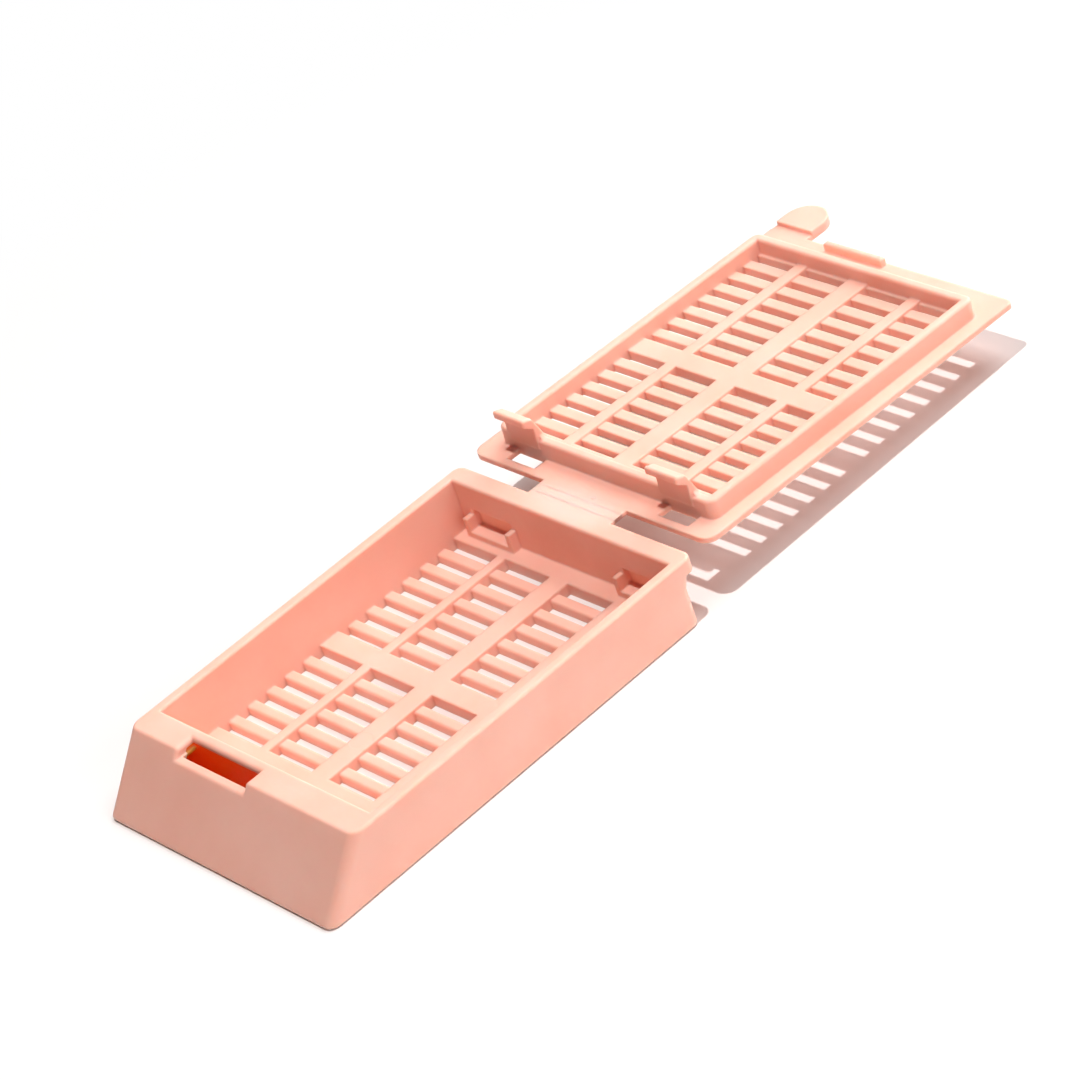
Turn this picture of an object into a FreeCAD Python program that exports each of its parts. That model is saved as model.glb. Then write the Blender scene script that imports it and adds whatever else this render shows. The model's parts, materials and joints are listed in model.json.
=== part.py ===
import FreeCAD, Part
import Sketcher
import os
import re

# Tissue processing cassette, lying open. One moulding: a slotted tray and a slotted lid
# joined by a short flexible strip. +Z is up, +Y runs from the writing face to the lid,
# the origin is the centre of the tray's underside. All sizes are millimetres.

doc = FreeCAD.newDocument("cassette")
sheet = doc.addObject("Spreadsheet::Sheet", "Sizes")

sizes = [
    # tray shell
    ("tray_length", 41.64),
    ("tray_width", 28.5),
    ("tray_height", 6.1),
    ("side_wall", 1.0),
    ("back_wall", 0.7),
    ("corner_round", 0.9),
    ("foot_round", 0.28),
    ("rim_round", 0.22),
    # flared rim along the back wall
    ("flare_reach", 1.17),
    ("flare_drop", 2.65),
    ("flare_lip", 1.35),
    ("flare_step", 0.65),
    # sloping writing face and the flat shelf behind it
    ("face_run", 5.16),
    ("shelf_depth", 2.59),
    ("shelf_wall", 1.02),
    ("shelf_thickness", 1.0),
    ("face_thickness", 1.3),
    # slotted floor
    ("floor_height", 1.15),
    ("bar_drop", 0.27),
    ("spine_width", 2.1),
    ("rib_width", 0.95),
    ("inner_slot", 5.6),
    ("slot_width", 1.02),
    ("slot_pitch", 2.1),
    ("back_rows", 7),
    ("front_rows", 6),
    ("back_ledge", 1.75),
    ("cross_bar", 2.08),
    ("bar_round", 0.22),
    # catch notch in the shelf, and the hole through it
    ("notch_width", 8.75),
    ("notch_centre", 3.475),
    ("notch_depth", 0.75),
    ("notch_lip", 1.52),
    ("notch_round", 0.35),
    ("catch_side", 0.25),
    ("catch_depth", 1.0),
    # sockets for the lid's hooks in the back wall
    ("socket_centre", 9.27),
    ("socket_span", 4.8),
    ("socket_arm", 0.5),
    ("socket_reach", 0.9),
    ("socket_top", 3.0),
    ("seat_height", 1.7),
    ("recess_depth", 0.5),
    ("recess_top", 3.5),
    # flexible strip, folded along a line
    ("strip_width", 10.1),
    ("strip_centre", 0.35),
    ("strip_length", 1.8),
    ("strip_thickness", 0.35),
    ("fold_offset", 0.78),
    ("fold_gap", 0.04),
    ("fold_lift", 0.02),
    ("lid_droop", 1.8),
    ("lid_shift", 0.15),
    # lid plate
    ("lid_length", 37.35),
    ("lid_overhang", 0.175),
    ("lid_thickness", 0.5),
    ("lid_near_round", 1.2),
    ("lid_far_round", 0.6),
    # upright ring that plugs the tray
    ("ring_inset", 2.25),
    ("ring_length", 32.25),
    ("ring_clearance", 0.3),
    ("ring_wall", 0.9),
    ("ring_height", 1.77),
    ("ring_corner", 0.8),
    ("ring_round", 0.25),
    # slotted field inside the ring
    ("web_height", 0.5),
    ("web_drop", 0.2),
    ("far_ledge", 0.35),
    ("lid_spine", 2.2),
    ("lid_rib", 1.2),
    ("lid_slot", 5.0),
    ("lid_slot_width", 0.88),
    ("lid_pitch", 1.92),
    ("far_rows", 8),
    ("near_rows", 7),
    ("lid_cross_bar", 2.05),
    # hooks over the near ring wall
    ("hook_centre", 9.0),
    ("hook_width", 3.8),
    ("hook_shift", 0.55),
    ("hook_height", 4.35),
    ("hook_reach", 1.05),
    ("hook_tip", 0.7),
    ("hook_proud", 0.1),
    ("hook_slope", 0.6),
    ("hook_crown", 1.0),
    ("hook_fall", 0.35),
    ("hook_round", 0.2),
    ("hook_foot", 0.35),
    # openings in the plate in front of the hooks
    ("window_centre", 9.27),
    ("window_shift", 0.27),
    ("window_width", 3.55),
    ("window_start", 0.75),
    # latch rib near the far edge
    ("rib_length", 6.9),
    ("rib_centre", 3.6),
    ("rib_thickness", 0.6),
    ("rib_height", 0.8),
    ("rib_setback", 0.15),
    ("rib_round", 0.2),
    # finger tab
    ("tab_centre", 12.2),
    ("tab_width", 4.3),
    ("tab_reach", 4.25),
    ("tab_step", 0.38),
    ("tab_step_start", 0.75),
]
for row, (name, value) in enumerate(sizes, start=1):
    sheet.set("A%d" % row, name)
    sheet.set("B%d" % row, str(value))
    sheet.setAlias("B%d" % row, name)
doc.recompute()
size = dict(sizes)


def formula(text):
    """Turn plain size names into references to the sheet."""
    return re.sub(r"[a-z]\w*", r"Sizes.\g<0>", text)


def bind(item, prop, text):
    item.setExpression(prop, formula(text))


def sketch_on(body, name, role, level):
    """An empty sketch on one of the body's origin planes, moved along the plane's normal."""
    plane = [f for f in body.Origin.OriginFeatures if f.Role == role][0]
    sketch = body.newObject("Sketcher::SketchObject", name)
    sketch.AttachmentSupport = (plane, [""])
    sketch.MapMode = "FlatFace"
    bind(sketch, "AttachmentOffset.Base.z", level)
    return sketch


def add_outline(sketch, corners):
    """A closed polygon; every corner is held at its own distances from the sketch origin."""
    first = sketch.GeometryCount
    count = len(corners)
    for i in range(count):
        start = FreeCAD.Vector(i, i * i, 0)
        after = (i + 1) % count
        end = FreeCAD.Vector(after, after * after, 0)
        sketch.addGeometry(Part.LineSegment(start, end), False)
    for i in range(count):
        sketch.addConstraint(
            Sketcher.Constraint("Coincident", first + i, 2, first + (i + 1) % count, 1))
    for i, (across, up) in enumerate(corners):
        for kind, text in (("DistanceX", across), ("DistanceY", up)):
            index = sketch.addConstraint(Sketcher.Constraint(kind, -1, 1, first + i, 1, 1.0))
            label = "%s%d" % (kind[-1].lower() + "_", first + i)
            sketch.renameConstraint(index, label)
            bind(sketch, "Constraints." + label, text)


def box_corners(left, right, low, high):
    return [(left, low), (right, low), (right, high), (left, high)]


def pad(body, name, sketch, length, both_ways=False, down=False):
    item = body.newObject("PartDesign::Pad", name)
    item.Profile = sketch
    bind(item, "Length", length)
    item.SideType = "Symmetric" if both_ways else "One side"
    item.Reversed = down
    doc.recompute()
    return item


def pocket(body, name, sketch, length=None, both_ways=False):
    """Cut below the sketch plane (or both ways from it) and make sure material went."""
    before = body.Shape.Volume
    item = body.newObject("PartDesign::Pocket", name)
    item.Profile = sketch
    if length is None:
        item.Type = "ThroughAll"
    else:
        bind(item, "Length", length)
    item.SideType = "Symmetric" if both_ways else "One side"
    doc.recompute()
    if body.Shape.Volume > before - 0.01:
        raise RuntimeError(name + " removed nothing")
    return item


def repeat_rows(body, name, feature, sketch, pitch, rows):
    """Repeat a row of slots towards -Y."""
    item = body.newObject("PartDesign::LinearPattern", name)
    item.Originals = [feature]
    item.Direction = (sketch, ["V_Axis"])
    item.Reversed = True
    bind(item, "Length", "%s * (%s - 1)" % (pitch, rows))
    bind(item, "Occurrences", rows)
    body.Tip = item
    doc.recompute()
    return item


def round_edges(body, name, radius, wanted):
    """Fillet every edge of the tip shape that the test accepts."""
    tip = body.Tip
    found = []
    for number, edge in enumerate(tip.Shape.Edges, start=1):
        if wanted(edge):
            found.append("Edge%d" % number)
    if not found:
        raise RuntimeError(name + " found no edge")
    item = body.newObject("PartDesign::Fillet", name)
    item.Base = (tip, found)
    bind(item, "Radius", radius)
    doc.recompute()
    return item


def near(a, b, slack=0.002):
    return abs(a - b) < slack


def spans(edge, axis):
    """Extent of an edge along one axis."""
    box = edge.BoundBox
    return (box.XLength, box.YLength, box.ZLength)[axis]


def level(edge, height):
    return near(edge.BoundBox.ZMin, height) and near(edge.BoundBox.ZMax, height)


def columns(spine, rib, inner, outer):
    """Left and right limits of the four columns of slots, mirrored about the spine."""
    first = "(%s / 2)" % spine
    second = "(%s / 2 + %s)" % (spine, inner)
    third = "(%s / 2 + %s + %s)" % (spine, inner, rib)
    fourth = "(%s / 2 + %s + %s + %s)" % (spine, inner, rib, outer)
    right = [(first, second), (third, fourth)]
    left = [("-" + b, "-" + a) for a, b in right]
    return left + right


# ---- base: the tray with the fixed half of the strip ----
base = doc.addObject("PartDesign::Body", "base")
base.Label = "base"

# Side outline of the shell: sloping writing face, flat shelf, flared back wall.
shell_outline = sketch_on(base, "shell_outline", "YZ_Plane", "0")
add_outline(shell_outline, [
    ("-tray_length / 2", "0"),
    ("tray_length / 2", "0"),
    ("tray_length / 2", "tray_height - flare_drop"),
    ("tray_length / 2 + flare_reach - flare_step", "tray_height - flare_lip"),
    ("tray_length / 2 + flare_reach", "tray_height - flare_lip"),
    ("tray_length / 2 + flare_reach", "tray_height"),
    ("-tray_length / 2 + face_run", "tray_height"),
])
pad(base, "shell", shell_outline, "tray_width", both_ways=True)

back_face = size["tray_length"] / 2


flange_foot = size["tray_height"] - size["flare_lip"]


def shell_corner(edge):
    return spans(edge, 2) > 0.3 and near(spans(edge, 0), 0)


def front_corner(edge):
    return shell_corner(edge) and edge.BoundBox.YMax < 0


def back_corner(edge):
    box = edge.BoundBox
    return shell_corner(edge) and box.YMin > 0 and box.ZMax < flange_foot + 0.002


def flange_corner(edge):
    box = edge.BoundBox
    return shell_corner(edge) and box.YMin > back_face + 0.1 and box.ZMin > flange_foot - 0.002


def shell_foot(edge):
    return level(edge, 0)


round_edges(base, "front_corners", "corner_round", front_corner)
round_edges(base, "back_corners", "corner_round", back_corner)
round_edges(base, "flange_corners", "corner_round", flange_corner)
round_edges(base, "shell_foot", "foot_round", shell_foot)

# Hollow of the tray, down to the top of the floor's ribs.
inner_side = "(tray_width / 2 - side_wall)"
inner_front = "(-tray_length / 2 + face_run + shelf_depth)"
inner_back = "(tray_length / 2 - back_wall)"
hollow_outline = sketch_on(base, "hollow_outline", "XY_Plane", "tray_height")
add_outline(hollow_outline, box_corners("-" + inner_side, inner_side, inner_front, inner_back))
pocket(base, "hollow", hollow_outline, "tray_height - floor_height")

# Wedge-shaped hollow under the writing face, open below.
wedge_outline = sketch_on(base, "wedge_outline", "YZ_Plane", "0")
face_foot = "(-tray_length / 2 + face_thickness)"
wedge_top = "(tray_height - shelf_thickness)"
wedge_back = "(-tray_length / 2 + face_run + shelf_depth - shelf_wall)"
add_outline(wedge_outline, [
    (face_foot, "0"),
    (wedge_back, "0"),
    (wedge_back, wedge_top),
    (face_foot + " + face_run * (tray_height - shelf_thickness) / tray_height", wedge_top),
])
pocket(base, "wedge", wedge_outline, "tray_width - 2 * side_wall", both_ways=True)

# The bars between the slots stand a little lower than the ribs round them.
outer_slot = "(tray_width / 2 - side_wall - spine_width / 2 - inner_slot - rib_width)"
floor_columns = columns("spine_width", "rib_width", "inner_slot", outer_slot)
back_edge = "(tray_length / 2 - back_wall - back_ledge)"
back_field = back_edge + " - slot_pitch * (back_rows - 1) - slot_width"
front_edge = "(" + back_field + " - cross_bar)"
front_field = front_edge + " - slot_pitch * (front_rows - 1) - slot_width"
panel_outline = sketch_on(base, "panel_outline", "XY_Plane", "floor_height")
for left, right in floor_columns:
    add_outline(panel_outline, box_corners(left, right, back_field, back_edge))
    add_outline(panel_outline, box_corners(left, right, front_field, front_edge))
pocket(base, "panels", panel_outline, "bar_drop")

# Slots through the floor: one row of four in each field, repeated.
for name, edge, rows in (("back", back_edge, "back_rows"), ("front", front_edge, "front_rows")):
    row_outline = sketch_on(base, name + "_row_outline", "XY_Plane", "floor_height")
    for left, right in floor_columns:
        add_outline(row_outline, box_corners(left, right, edge + " - slot_width", edge))
    row = pocket(base, name + "_row", row_outline)
    repeat_rows(base, name + "_slots", row, row_outline, "slot_pitch", rows)

bar_top = size["floor_height"] - size["bar_drop"]


def bar_edge(edge):
    return level(edge, bar_top) and near(spans(edge, 1), 0) and spans(edge, 0) > 1


round_edges(base, "bar_tops", "bar_round", bar_edge)

# Catch notch: a lowered lip across the top of the writing face with a hole behind it.
notch_left = "(-notch_centre - notch_width / 2)"
notch_right = "(-notch_centre + notch_width / 2)"
notch_outline = sketch_on(base, "notch_outline", "XY_Plane", "tray_height")
add_outline(notch_outline, box_corners(
    notch_left, notch_right, "-tray_length / 2 + face_run / 2", wedge_back))
pocket(base, "notch", notch_outline, "notch_depth")
catch_outline = sketch_on(base, "catch_outline", "XY_Plane", "tray_height - notch_depth")
add_outline(catch_outline, box_corners(
    notch_left + " + catch_side", notch_right + " - catch_side",
    wedge_back + " - notch_lip", wedge_back))
pocket(base, "catch", catch_outline, "catch_depth")

shelf_front = -back_face + size["face_run"]
notch_back = shelf_front + size["shelf_depth"] - size["shelf_wall"]
notch_sides = (-size["notch_centre"] - size["notch_width"] / 2,
               -size["notch_centre"] + size["notch_width"] / 2)


def notch_edge(edge):
    """Top edges round the notch, the two slanting ones in the writing face, the lip's edge."""
    box = edge.BoundBox
    along_side = near(box.XLength, 0) and min(abs(box.XMin - x) for x in notch_sides) < 0.002
    along_back = near(box.YMin, notch_back) and near(box.YLength, 0)
    rim = level(edge, size["tray_height"]) and (along_side or along_back)
    slant = along_side and box.ZLength > 0.1 and box.YLength > 0.1
    lip = level(edge, size["tray_height"] - size["notch_depth"]) and box.YMax < shelf_front
    return slant or lip or (rim and box.YMax < notch_back + 0.01)


round_edges(base, "notch_edges", "notch_round", notch_edge)

# Sockets: two arms and a low seat on the back wall, with a shallow recess between the arms.
socket_front = "(" + inner_back + " - socket_reach)"
socket_root = "(" + inner_back + " + back_wall / 2)"
arm_outline = sketch_on(base, "arm_outline", "XY_Plane", "floor_height / 2")
seat_outline = sketch_on(base, "seat_outline", "XY_Plane", "floor_height / 2")
recess_outline = sketch_on(base, "recess_outline", "XY_Plane", "recess_top")
for side in ("-1", "1"):
    middle = side + " * socket_centre"
    low = middle + " - socket_span / 2"
    high = middle + " + socket_span / 2"
    add_outline(arm_outline, box_corners(low + " - socket_arm", low, socket_front, socket_root))
    add_outline(arm_outline, box_corners(high, high + " + socket_arm", socket_front, socket_root))
    add_outline(seat_outline, box_corners(
        low + " - socket_arm / 2", high + " + socket_arm / 2", socket_front, socket_root))
    add_outline(recess_outline, box_corners(
        low, high, inner_back + " - socket_reach / 2", inner_back + " + recess_depth"))
pad(base, "arms", arm_outline, "socket_top - floor_height / 2")
pad(base, "seats", seat_outline, "seat_height - floor_height / 2")
pocket(base, "recesses", recess_outline, "recess_top - seat_height")

# Rounded rims: the outer and inner top edges of the walls.
rim_level = size["tray_height"]


def rim_edge(edge):
    box = edge.BoundBox
    in_notch = box.YMax < shelf_front + size["shelf_depth"] - 0.1 and box.YMin > shelf_front - 0.01
    return level(edge, rim_level) and not in_notch


round_edges(base, "rims", "rim_round", rim_edge)

# Fixed half of the strip, flush with the rim, up to the fold.
strip_left = "(-strip_centre - strip_width / 2)"
strip_right = "(-strip_centre + strip_width / 2)"
strip_outline = sketch_on(base, "strip_outline", "XY_Plane", "tray_height - strip_thickness")
rim_back = "(tray_length / 2 + flare_reach)"
add_outline(strip_outline, box_corners(
    strip_left, strip_right, rim_back + " - flare_reach / 2",
    rim_back + " + fold_offset - fold_gap / 2"))
pad(base, "strip", strip_outline, "strip_thickness")


# ---- lid: plate, ring, hooks and tab, in its own frame on the fold line ----
lid = doc.addObject("PartDesign::Body", "lid")
lid.Label = "lid"

# Heights are measured from the plate's upper face, which lies just under the fold axis.
plate_near = "(strip_length - fold_offset)"
plate_far = "(strip_length - fold_offset + lid_length)"
plate_side = "(tray_width / 2 + lid_overhang)"
plate_outline = sketch_on(lid, "plate_outline", "XY_Plane", "-fold_lift")
add_outline(plate_outline, box_corners("-" + plate_side, plate_side, plate_near, plate_far))
pad(lid, "plate", plate_outline, "lid_thickness", down=True)

plate_near_y = size["strip_length"] - size["fold_offset"]
plate_far_y = plate_near_y + size["lid_length"]


def near_corner(edge):
    return spans(edge, 2) > 0.1 and near(edge.BoundBox.YMax, plate_near_y)


def far_corner(edge):
    box = edge.BoundBox
    return spans(edge, 2) > 0.1 and near(box.YMin, plate_far_y) and box.XMin > 0


round_edges(lid, "near_corners", "lid_near_round", near_corner)
round_edges(lid, "far_corner", "lid_far_round", far_corner)

# Moving half of the strip.
lid_strip_outline = sketch_on(lid, "lid_strip_outline", "XY_Plane", "-fold_lift")
add_outline(lid_strip_outline, box_corners(
    strip_left + " + lid_shift", strip_right + " + lid_shift",
    "fold_gap / 2", plate_near + " + lid_near_round / 2"))
pad(lid, "lid_strip", lid_strip_outline, "strip_thickness", down=True)

# Solid block of the ring, rounded, then hollowed down to the slotted field.
ring_side = "(tray_width / 2 - side_wall - ring_clearance)"
ring_near = "(%s + ring_inset)" % plate_near
ring_far = "(%s + ring_inset + ring_length)" % plate_near
ring_outline = sketch_on(lid, "ring_outline", "XY_Plane", "-fold_lift - lid_thickness / 2")
add_outline(ring_outline, box_corners("-" + ring_side, ring_side, ring_near, ring_far))
pad(lid, "ring", ring_outline, "ring_height + lid_thickness / 2")

ring_near_y = plate_near_y + size["ring_inset"]
ring_far_y = ring_near_y + size["ring_length"]
ring_top_z = size["ring_height"] - size["fold_lift"]
ring_side_x = size["tray_width"] / 2 - size["side_wall"] - size["ring_clearance"]


def ring_corner(edge):
    box = edge.BoundBox
    upright = near(box.XLength, 0) and near(box.YLength, 0) and box.ZLength > 1
    return upright and near(abs(box.XMin), ring_side_x)


round_edges(lid, "ring_corners", "ring_corner", ring_corner)
field_outline = sketch_on(lid, "field_outline", "XY_Plane", "ring_height - fold_lift")
field_side = "(" + ring_side + " - ring_wall)"
field_far = "(%s - ring_wall)" % ring_far
add_outline(field_outline, box_corners(
    "-" + field_side, field_side, ring_near + " + ring_wall", field_far))
pocket(lid, "field", field_outline, "ring_height - web_height")


def ring_top(edge):
    return level(edge, ring_top_z)


round_edges(lid, "ring_tops", "ring_round", ring_top)

# Bars lower than the ribs, then the slots through the plate.
outer_lid_slot = "(" + ring_side + " - ring_wall - lid_spine / 2 - lid_slot - lid_rib)"
lid_columns = columns("lid_spine", "lid_rib", "lid_slot", outer_lid_slot)
far_edge = "(" + field_far + " - far_ledge)"
far_field = far_edge + " - lid_pitch * (far_rows - 1) - lid_slot_width"
near_edge = "(" + far_field + " - lid_cross_bar)"
near_field = near_edge + " - lid_pitch * (near_rows - 1) - lid_slot_width"
lid_panel_outline = sketch_on(lid, "lid_panel_outline", "XY_Plane", "web_height - fold_lift")
for left, right in lid_columns:
    add_outline(lid_panel_outline, box_corners(left, right, far_field, field_far))
    add_outline(lid_panel_outline, box_corners(left, right, near_field, near_edge))
pocket(lid, "lid_panels", lid_panel_outline, "web_drop")
for name, edge, rows in (("far", far_edge, "far_rows"), ("near", near_edge, "near_rows")):
    row_outline = sketch_on(lid, name + "_row_outline", "XY_Plane", "web_height - fold_lift")
    for left, right in lid_columns:
        add_outline(row_outline, box_corners(left, right, edge + " - lid_slot_width", edge))
    row = pocket(lid, name + "_row", row_outline)
    repeat_rows(lid, name + "_slots", row, row_outline, "lid_pitch", rows)

# Openings through the plate, up to the ring, and hooks on the ring's near wall: a post with
# a sloping back, a barbed lip reaching over the opening, and a foot spread along the ring.
post_front = "(%s - hook_proud)" % ring_near
lip_front = "(%s - hook_reach)" % ring_near
post_back = "(%s + ring_wall)" % ring_near
lip_low = "(hook_height - hook_tip - fold_lift)"
hook_top = "(hook_height - fold_lift)"
window_outline = sketch_on(lid, "window_outline", "XY_Plane", "lid_thickness")
foot_outline = sketch_on(lid, "foot_outline", "XZ_Plane", "-%s - ring_wall * 3 / 4" % ring_near)
for side, name in (("-1", "left"), ("1", "right")):
    window_low = side + " * window_centre + window_shift - window_width / 2"
    add_outline(window_outline, box_corners(
        window_low, window_low + " + window_width", plate_near + " + window_start", ring_near))
    low = side + " * hook_centre - hook_width / 2"
    if side == "-1":
        low = low + " - hook_shift"
    hook_outline = sketch_on(lid, name + "_hook_outline", "YZ_Plane", low)
    add_outline(hook_outline, [
        (post_front, "ring_height / 2"),
        (post_back, "ring_height / 2"),
        (post_back, "ring_height - fold_lift"),
        (lip_front + " + hook_crown", hook_top + " - hook_fall"),
        (lip_front, hook_top),
        (lip_front, lip_low),
        (post_front, lip_low + " - hook_slope"),
    ])
    pad(lid, name + "_hook", hook_outline, "hook_width")
    add_outline(foot_outline, [
        (low + " - hook_foot", "ring_height * 3 / 4"),
        (low + " + hook_width + hook_foot", "ring_height * 3 / 4"),
        (low + " + hook_width + hook_foot", "ring_height - fold_lift"),
        (low + " + hook_width", "ring_height - fold_lift + hook_foot"),
        (low, "ring_height - fold_lift + hook_foot"),
        (low + " - hook_foot", "ring_height - fold_lift"),
    ])
pad(lid, "hook_feet", foot_outline, "ring_wall / 2")
pocket(lid, "windows", window_outline)
hook_top_z = size["hook_height"] - size["fold_lift"]


def hook_edge(edge):
    box = edge.BoundBox
    return near(box.ZMax, hook_top_z) and box.YMax < ring_near_y + 0.2


round_edges(lid, "hook_tops", "hook_round", hook_edge)

# Latch rib that snaps into the catch hole.
rib_outline = sketch_on(lid, "rib_outline", "XY_Plane", "-fold_lift - lid_thickness / 2")
add_outline(rib_outline, box_corners(
    "-rib_centre - rib_length / 2", "-rib_centre + rib_length / 2",
    plate_far + " - rib_setback - rib_thickness", plate_far + " - rib_setback"))
pad(lid, "latch_rib", rib_outline, "rib_height + lid_thickness / 2")
rib_top_z = size["rib_height"] - size["fold_lift"]


def rib_edge(edge):
    return level(edge, rib_top_z) and edge.BoundBox.YMin > ring_far_y


round_edges(lid, "rib_tops", "rib_round", rib_edge)

# Finger tab at the left far corner, its outer part stepped up.
tab_left = "(-tab_centre - tab_width / 2)"
tab_right = "(-tab_centre + tab_width / 2)"
tab_outline = sketch_on(lid, "tab_outline", "XY_Plane", "-fold_lift")
add_outline(tab_outline, box_corners(
    tab_left, tab_right, plate_far + " - lid_near_round / 2", plate_far + " + tab_reach"))
pad(lid, "tab", tab_outline, "lid_thickness", down=True)
step_outline = sketch_on(lid, "step_outline", "XY_Plane", "-fold_lift - lid_thickness / 2")
add_outline(step_outline, box_corners(
    tab_left, tab_right, plate_far + " + tab_step_start", plate_far + " + tab_reach"))
pad(lid, "tab_step", step_outline, "tab_step + lid_thickness / 2")

tab_end_y = plate_far_y + size["tab_reach"]


def tab_corner(edge):
    box = edge.BoundBox
    return near(box.YMin, tab_end_y) and near(box.YMax, tab_end_y) and box.XLength < 0.01


tab_rounding = round_edges(lid, "tab_end", "tab_width / 2 - 0.02", tab_corner)

# The lid hangs from the fold line and droops a little below level.
bind(lid, "Placement.Base.x", "-lid_shift")
bind(lid, "Placement.Base.y", "tray_length / 2 + flare_reach + fold_offset")
bind(lid, "Placement.Base.z", "tray_height + fold_lift")
lid.Placement.Rotation = FreeCAD.Rotation(FreeCAD.Vector(1, 0, 0), -size["lid_droop"])
doc.recompute()

for item in doc.Objects:
    if "Invalid" in item.State or "Error" in item.State:
        raise RuntimeError("failed: " + item.Name)

os.makedirs("parts", exist_ok=True)
for body in (base, lid):
    if body.Shape.isNull() or not body.Shape.isValid() or len(body.Shape.Solids) != 1:
        raise RuntimeError("bad shape: " + body.Label)
    body.Shape.exportStep("parts/%s.step" % body.Label)
    print(body.Label, body.Shape.BoundBox, body.Shape.Volume, body.Placement)
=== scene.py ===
import json
import math

import bmesh
import bpy
from mathutils import Matrix, Vector


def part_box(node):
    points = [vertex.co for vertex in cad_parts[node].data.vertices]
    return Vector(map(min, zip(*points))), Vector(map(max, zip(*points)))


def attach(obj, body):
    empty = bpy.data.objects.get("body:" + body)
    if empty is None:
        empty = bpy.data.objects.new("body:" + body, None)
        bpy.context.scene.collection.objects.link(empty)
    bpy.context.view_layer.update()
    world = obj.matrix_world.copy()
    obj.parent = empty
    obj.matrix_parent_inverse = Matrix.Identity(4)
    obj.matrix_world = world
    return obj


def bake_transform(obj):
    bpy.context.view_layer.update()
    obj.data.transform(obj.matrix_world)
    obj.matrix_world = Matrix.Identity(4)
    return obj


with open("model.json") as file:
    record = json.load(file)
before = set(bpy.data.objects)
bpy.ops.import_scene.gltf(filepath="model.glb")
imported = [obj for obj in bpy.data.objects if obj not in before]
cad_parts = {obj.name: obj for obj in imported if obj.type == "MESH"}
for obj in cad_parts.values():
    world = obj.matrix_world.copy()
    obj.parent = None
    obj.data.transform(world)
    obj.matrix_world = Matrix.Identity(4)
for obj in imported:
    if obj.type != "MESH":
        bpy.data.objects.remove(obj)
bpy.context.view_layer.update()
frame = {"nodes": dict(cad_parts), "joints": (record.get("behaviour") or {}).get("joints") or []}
MM = 0.001


def add_node(tree, kind, inputs, **settings):
    """Add a node. An input given as a socket is linked, any other is set as a value."""
    node = tree.nodes.new(kind)
    for key, value in settings.items():
        setattr(node, key, value)
    for key, value in inputs.items():
        if isinstance(value, bpy.types.NodeSocket):
            tree.links.new(value, node.inputs[key])
        else:
            node.inputs[key].default_value = value
    return node


def add_piece(name, form, material):
    """Turn a finished form into an object at the origin."""
    mesh = bpy.data.meshes.new(name)
    form.to_mesh(mesh)
    form.free()
    mesh.materials.append(material)
    piece = bpy.data.objects.new(name, mesh)
    bpy.context.collection.objects.link(piece)
    return piece


# ---- plastic: soft pink acetal, matte from the mould, that light soaks a little way into ----
# Fine mottling roughens the skin, a broad drift in tone follows the flow of the moulding, and
# a narrow bevel in the shading softens every edge.
soak_depth = 0.4 * MM
soak_by_colour = (1.0, 0.78, 0.62)
gloss = 0.45
drift_scale = 140.0
deep_pink = (0.89, 0.462, 0.357, 1.0)
pale_pink = (0.915, 0.51, 0.408, 1.0)
drift_low = 0.35
drift_high = 0.65
stress_centre = (-0.4 * MM, 22.3 * MM, 6.1 * MM)
stress_reach = (6.0 * MM, 2.6 * MM, 1.0 * MM)
stress_rim = 1.15
stress_core = 0.35
stress_strength = 0.5
stressed_pink = (0.93, 0.65, 0.58, 1.0)
mottle_scale = 2600.0
mottle_low = 0.3
mottle_high = 0.7
smooth_patch = 0.42
rough_patch = 0.58
edge_round = 0.35 * MM
grain_depth = 0.03 * MM
grain_strength = 0.25


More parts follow.
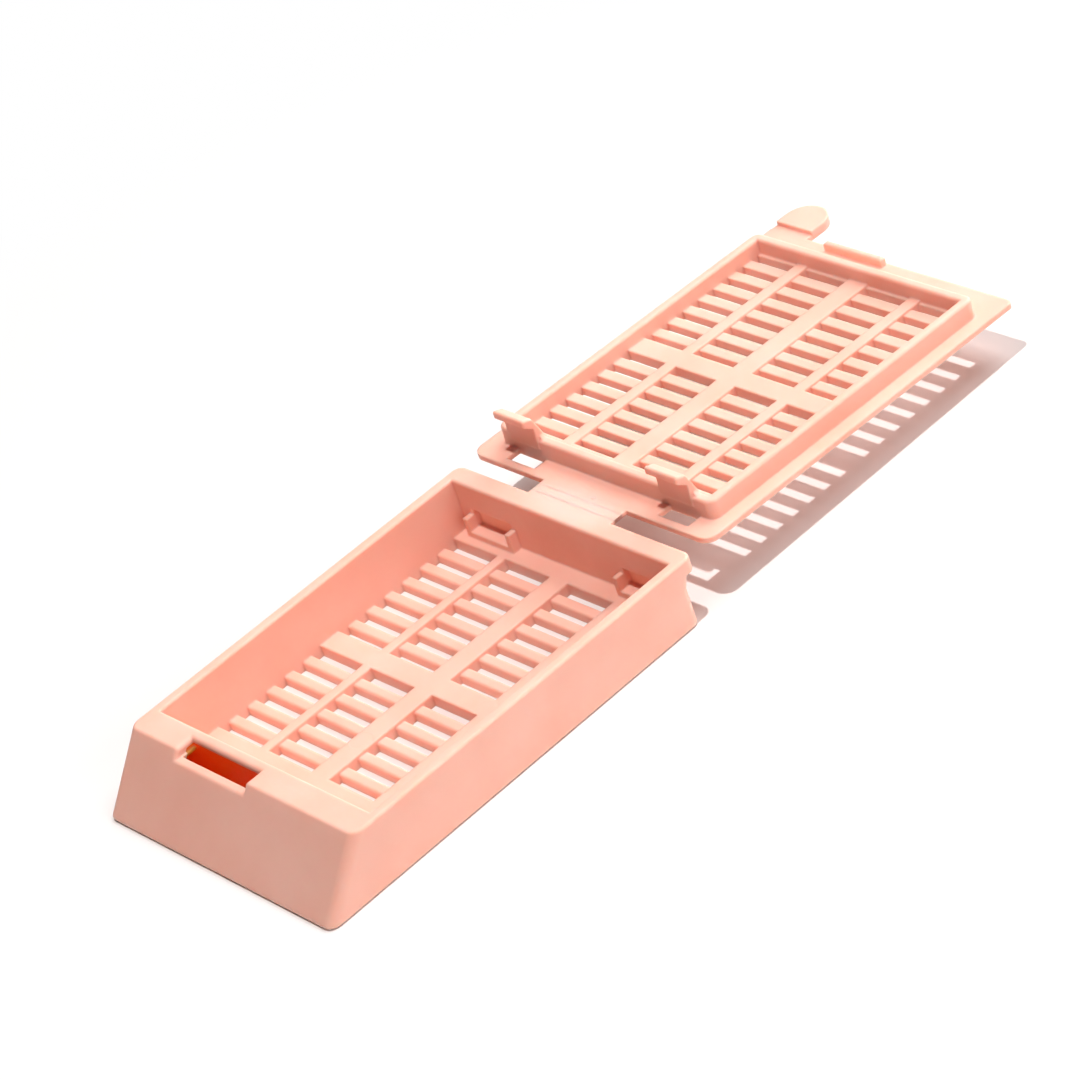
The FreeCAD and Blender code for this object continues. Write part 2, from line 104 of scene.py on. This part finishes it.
def pink_plastic(name):
    """Make one copy of the plastic. Its nodes "whitened" and "grain" can be built upon."""
    material = bpy.data.materials.new(name)
    material.use_nodes = True
    tree = material.node_tree
    shader = tree.nodes["Principled BSDF"]
    shader.subsurface_method = "RANDOM_WALK"
    shader.inputs["Subsurface Weight"].default_value = 1.0
    shader.inputs["Subsurface Radius"].default_value = soak_by_colour
    shader.inputs["Subsurface Scale"].default_value = soak_depth
    shader.inputs["Specular IOR Level"].default_value = gloss
    place = add_node(tree, "ShaderNodeTexCoord", {})
    drift = add_node(tree, "ShaderNodeTexNoise", {
        "Vector": place.outputs["Object"], "Scale": drift_scale, "Detail": 3.0})
    tone = add_node(tree, "ShaderNodeValToRGB", {"Fac": drift.outputs["Fac"]})
    low, high = tone.color_ramp.elements
    low.position, low.color = drift_low, deep_pink
    high.position, high.color = drift_high, pale_pink
    # Stress has whitened the plastic round the fold, in an oval that fades at its rim.
    offset = add_node(tree, "ShaderNodeVectorMath", {
        0: place.outputs["Object"], 1: stress_centre}, operation="SUBTRACT")
    oval = add_node(tree, "ShaderNodeVectorMath", {
        0: offset.outputs["Vector"], 1: tuple(1 / reach for reach in stress_reach)},
        operation="MULTIPLY")
    spread = add_node(tree, "ShaderNodeVectorMath", {0: oval.outputs["Vector"]},
                      operation="LENGTH")
    stress = add_node(tree, "ShaderNodeMapRange", {
        "Value": spread.outputs["Value"], "From Min": stress_rim, "From Max": stress_core,
        "To Max": stress_strength}, interpolation_type="SMOOTHSTEP")
    whitened = add_node(tree, "ShaderNodeMixRGB", {
        "Fac": stress.outputs["Result"], "Color1": tone.outputs["Color"],
        "Color2": stressed_pink}, name="whitened")
    tree.links.new(whitened.outputs["Color"], shader.inputs["Base Color"])
    mottle = add_node(tree, "ShaderNodeTexNoise", {
        "Vector": place.outputs["Object"], "Scale": mottle_scale, "Detail": 4.0,
        "Roughness": 0.6})
    sheen = add_node(tree, "ShaderNodeMapRange", {
        "Value": mottle.outputs["Fac"], "From Min": mottle_low, "From Max": mottle_high,
        "To Min": smooth_patch, "To Max": rough_patch})
    tree.links.new(sheen.outputs["Result"], shader.inputs["Roughness"])
    soft_edge = add_node(tree, "ShaderNodeBevel", {"Radius": edge_round}, samples=4)
    grain = add_node(tree, "ShaderNodeBump", {
        "Strength": grain_strength, "Distance": grain_depth, "Height": mottle.outputs["Fac"],
        "Normal": soft_edge.outputs["Normal"]}, name="grain")
    tree.links.new(grain.outputs["Normal"], shader.inputs["Normal"])
    return material


# ---- lid: the plate with its ring, rows of slots, hooks and tab ----
# Its shape is the solid's own, and the plastic is plain all over but for the whitening.
lid = frame["nodes"]["lid"]
lid.data.materials.clear()
lid.data.materials.append(pink_plastic("lid_plastic"))

# ---- base: the tray, with the round marks that the ejector pins leave on its floor ----
# Each mark is a disc a few hundredths of a millimetre deep. Its edge is a short ramp in the
# distance from the pin's centre, so it shows only on the floor.
base = frame["nodes"]["base"]
tray_plastic = pink_plastic("tray_plastic")
base.data.materials.clear()
base.data.materials.append(tray_plastic)
tree = tray_plastic.node_tree
shader = tree.nodes["Principled BSDF"]
floor_height = 1.15
pin_centres = ((-6.7, 3.8), (6.8, 3.6), (-0.1, -4.2))
pin_radius = 1.0
pin_edge = 0.08
pin_depth = 0.03 * MM
pin_strength = 0.6
place = add_node(tree, "ShaderNodeTexCoord", {})
surface = tree.nodes["grain"].outputs["Normal"]
for x, y in pin_centres:
    reach = add_node(tree, "ShaderNodeVectorMath", {
        0: place.outputs["Object"], 1: (x * MM, y * MM, floor_height * MM)},
        operation="DISTANCE")
    edge = add_node(tree, "ShaderNodeMapRange", {
        "Value": reach.outputs["Value"], "From Min": (pin_radius - pin_edge) * MM,
        "From Max": (pin_radius + pin_edge) * MM}, interpolation_type="SMOOTHSTEP")
    dent = add_node(tree, "ShaderNodeBump", {
        "Strength": pin_strength, "Distance": pin_depth, "Height": edge.outputs["Result"],
        "Normal": surface})
    surface = dent.outputs["Normal"]
tree.links.new(surface, shader.inputs["Normal"])

# The hollow under the writing face is painted deep red: a painted glow for the light that
# reaches it only through the wall. The painted glow fills the wedge behind the face, below the
# shelf, between the sides.
face_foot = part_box("base")[0].y
face_run = 5.16 * MM
face_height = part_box("base")[1].z
face_length = math.hypot(face_run, face_height)
face_wall = 0.7 * MM
hollow_half_width = 13.5 * MM
hollow_run = 7.2 * MM
shelf_wall = 0.5 * MM
# Colour of the painted glow in the hollow, standing in for light that comes through the wall.
painted_glow_red = (0.80, 0.17, 0.008, 1.0)
hollow_soak = 3.0 * MM
split = add_node(tree, "ShaderNodeSeparateXYZ", {"Vector": place.outputs["Object"]})
depth = add_node(tree, "ShaderNodeVectorMath", {
    0: place.outputs["Object"],
    1: (0.0, face_height / face_length, -face_run / face_length)}, operation="DOT_PRODUCT")
face_depth = face_foot * face_height / face_length + face_wall
side = add_node(tree, "ShaderNodeMath", {0: split.outputs["X"]}, operation="ABSOLUTE")
painted_glow_mask = None
for socket, operation, limit in (
        (depth.outputs["Value"], "GREATER_THAN", face_depth),
        (side.outputs["Value"], "LESS_THAN", hollow_half_width),
        (split.outputs["Y"], "LESS_THAN", face_foot + hollow_run),
        (split.outputs["Z"], "LESS_THAN", face_height - shelf_wall)):
    test = add_node(tree, "ShaderNodeMath", {0: socket, 1: limit}, operation=operation)
    if painted_glow_mask is None:
        painted_glow_mask = test.outputs["Value"]
        continue
    both = add_node(tree, "ShaderNodeMath", {0: painted_glow_mask, 1: test.outputs["Value"]},
                    operation="MULTIPLY")
    painted_glow_mask = both.outputs["Value"]
# Mix in the painted glow: deep red where the hollow lies, in place of the plastic's own tone.
painted_glow_colour = add_node(tree, "ShaderNodeMixRGB", {
    "Fac": painted_glow_mask, "Color1": tree.nodes["whitened"].outputs["Color"], "Color2": painted_glow_red})
tree.links.new(painted_glow_colour.outputs["Color"], shader.inputs["Base Color"])
soak = add_node(tree, "ShaderNodeMapRange", {
    "Value": painted_glow_mask, "To Min": soak_depth, "To Max": hollow_soak})
tree.links.new(soak.outputs["Result"], shader.inputs["Subsurface Scale"])

# ---- fold strip: the thin web between tray and lid, one skin over both halves ----
# It spans the fold line from a little before it to a little after it, droops with the lid on
# the lid's side, and closes the hairline that the two solid halves leave between them. No edge
# of it is softened, since it runs on into both halves.
fold = next(joint for joint in frame["joints"] if joint["name"] == "fold")
fold_y = fold["pos_m"][1]
strip_proud = 0.002 * MM
strip_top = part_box("base")[1].z + strip_proud
strip_depth = 0.354 * MM
strip_left = -5.25 * MM
strip_right = 4.70 * MM
strip_half = 0.45 * MM
lid_droop = math.radians(1.8)
form = bmesh.new()
bmesh.ops.create_grid(form, x_segments=12, y_segments=36, size=1.0)
for vert in form.verts:
    along = vert.co.y * strip_half
    vert.co.x = (strip_left + strip_right) / 2 + vert.co.x * (strip_right - strip_left) / 2
    vert.co.y = fold_y + along
    vert.co.z = strip_top - max(along, 0.0) * math.tan(lid_droop)
under = bmesh.ops.extrude_face_region(form, geom=form.faces[:])
lower = [item for item in under["geom"] if isinstance(item, bmesh.types.BMVert)]
bmesh.ops.translate(form, verts=lower, vec=(0.0, 0.0, -strip_depth))
bmesh.ops.recalc_face_normals(form, faces=form.faces[:])
# Extruding leaves the rim's faces in no fixed order, so they are sorted by where they lie.
sort_weights = Vector((1.0, 1e3, 1e6))
form.faces.sort(key=lambda face: face.calc_center_median().dot(sort_weights))
skin = pink_plastic("strip_plastic")
grain = skin.node_tree.nodes["grain"]
skin.node_tree.links.remove(grain.inputs["Normal"].links[0])
strip = add_piece("fold_strip", form, skin)
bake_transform(strip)

# ---- gate nub: the stub on the strip where the plastic entered the mould ----
# A low cone on the lid's side of the fold. Most of it is sunk into the drooping strip, and
# only its tip stands out.
nub_radius = 0.4 * MM
nub_tip_radius = 0.12 * MM
nub_height = 0.1 * MM
nub_x = 0.7 * MM
nub_along = 1.03 * MM
nub_sink = 0.03 * MM
nub_z = strip_top - nub_sink - nub_along * math.tan(lid_droop)
form = bmesh.new()
bmesh.ops.create_cone(
    form, cap_ends=True, segments=24, radius1=nub_radius, radius2=nub_tip_radius,
    depth=nub_height)
bmesh.ops.translate(form, verts=form.verts[:], vec=(nub_x, fold_y + nub_along, nub_z))
nub = add_piece("gate_nub", form, skin)
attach(nub, "cover")

# ---- table: a white sheet under the cassette that keeps its shadow ----
# Past the reach of the shadows, what the camera sees of it runs out into the plain white
# of the background, so no edge of the sheet shows from any side.
table_half = 0.16
table_drop = 0.02 * MM
table_colour = (0.90, 0.865, 0.85, 1.0)
table_roughness = 0.9
plain_centre = (0.0, 0.022, 0.0)
plain_from = 0.065
plain_to = 0.10
form = bmesh.new()
bmesh.ops.create_grid(form, x_segments=1, y_segments=1, size=table_half)
bmesh.ops.translate(form, verts=form.verts[:], vec=(0.0, 0.0, -table_drop))
white = bpy.data.materials.new("white_table")
white.use_nodes = True
tree = white.node_tree
paper = tree.nodes["Principled BSDF"]
paper.inputs["Base Color"].default_value = table_colour
paper.inputs["Roughness"].default_value = table_roughness
place = add_node(tree, "ShaderNodeNewGeometry", {})
away = add_node(tree, "ShaderNodeVectorMath", {
    0: place.outputs["Position"], 1: plain_centre}, operation="DISTANCE")
run_out = add_node(tree, "ShaderNodeMapRange", {
    "Value": away.outputs["Value"], "From Min": plain_from, "From Max": plain_to},
    interpolation_type="SMOOTHSTEP")
ray = add_node(tree, "ShaderNodeLightPath", {})
seen = add_node(tree, "ShaderNodeMath", {
    0: run_out.outputs["Result"], 1: ray.outputs["Is Camera Ray"]}, operation="MULTIPLY")
plain = add_node(tree, "ShaderNodeEmission", {})
sheet = add_node(tree, "ShaderNodeMixShader", {
    "Fac": seen.outputs["Value"], 1: paper.outputs["BSDF"], 2: plain.outputs["Emission"]})
tree.links.new(sheet.outputs["Shader"], tree.nodes["Material Output"].inputs["Surface"])
table = add_piece("table", form, white)

# ---- lamps: a small one overhead that draws the shadows, and three broad ones ----
# The broad ones stand high behind, low behind and low on the right, so the tops are the
# brightest faces, the right side comes next and the writing face stays in half shade.
# The low back lamp lights the cassette alone, so the lid's shadow on the table stays whole.
# Each row gives name, shape, place and size in metres, and power in watts.
lamps = (
    ("key", "ELLIPSE", (0.035, -0.006, 0.423), 0.015, 0.015, 1.23),
    ("high_back", "RECTANGLE", (0.0, 0.30, 0.42), 0.4, 0.25, 1.6),
    ("low_back", "RECTANGLE", (0.0, 0.50, 0.20), 0.5, 0.3, 2.66),
    ("low_right", "RECTANGLE", (0.45, 0.02, 0.20), 0.5, 0.3, 0.96),
)
aim = Vector((0.0, 0.02, 0.0))
cassette = bpy.data.collections.new("cassette")
for piece in (base, lid, strip, nub):
    cassette.objects.link(piece)
for name, shape, spot, width, height, power in lamps:
    lamp_data = bpy.data.lights.new(name, "AREA")
    lamp_data.shape = shape
    lamp_data.size = width
    lamp_data.size_y = height
    lamp_data.energy = power
    lamp = bpy.data.objects.new(name, lamp_data)
    bpy.context.collection.objects.link(lamp)
    lamp.location = spot
    lamp.rotation_euler = (aim - lamp.location).to_track_quat("-Z", "Y").to_euler()
    if name == "low_back":
        lamp.light_linking.receiver_collection = cassette

# ---- surroundings: white where the camera sees them, dark to the plastic ----
# So the background is plain white, and it adds next to no light to the cassette.
dim_strength = 0.02
full_white = (1.0, 1.0, 1.0, 1.0)
world = bpy.data.worlds.new("surround")
bpy.context.scene.world = world
world.use_nodes = True
tree = world.node_tree
tree.nodes.clear()
ray = add_node(tree, "ShaderNodeLightPath", {})
dim = add_node(tree, "ShaderNodeBackground", {"Color": full_white, "Strength": dim_strength})
bright = add_node(tree, "ShaderNodeBackground", {"Color": full_white, "Strength": 1.0})
sky = add_node(tree, "ShaderNodeMixShader", {
    "Fac": ray.outputs["Is Camera Ray"], 1: dim.outputs["Background"],
    2: bright.outputs["Background"]})
add_node(tree, "ShaderNodeOutputWorld", {"Surface": sky.outputs["Shader"]})

# ---- camera: long lens from high on the right, rolled as the picture is ----
# Its place and turn were fitted to the edges and slots of the picture, with the picture's
# optical centre a few pixels away from its middle.
picture_size = 1080
optical_x = 536.982
optical_y = 541.128
camera_data = bpy.data.cameras.new("camera")
camera_data.lens = 140.216
camera_data.sensor_width = 36.0
camera_data.shift_x = (picture_size / 2 - optical_x) / picture_size
camera_data.shift_y = (optical_y - picture_size / 2) / picture_size
camera_data.clip_end = 10
camera = bpy.data.objects.new("camera", camera_data)
bpy.context.collection.objects.link(camera)
camera.matrix_world = Matrix((
    (0.6633312, -0.2611494, 0.7012793, 0.2399752),
    (0.6945555, 0.5636707, -0.4470660, -0.1352956),
    (-0.2785396, 0.7836303, 0.5552831, 0.1957499),
    (0.0, 0.0, 0.0, 1.0)))

scene = bpy.context.scene
scene.camera = camera
scene.render.engine = "CYCLES"
scene.view_settings.view_transform = "Standard"
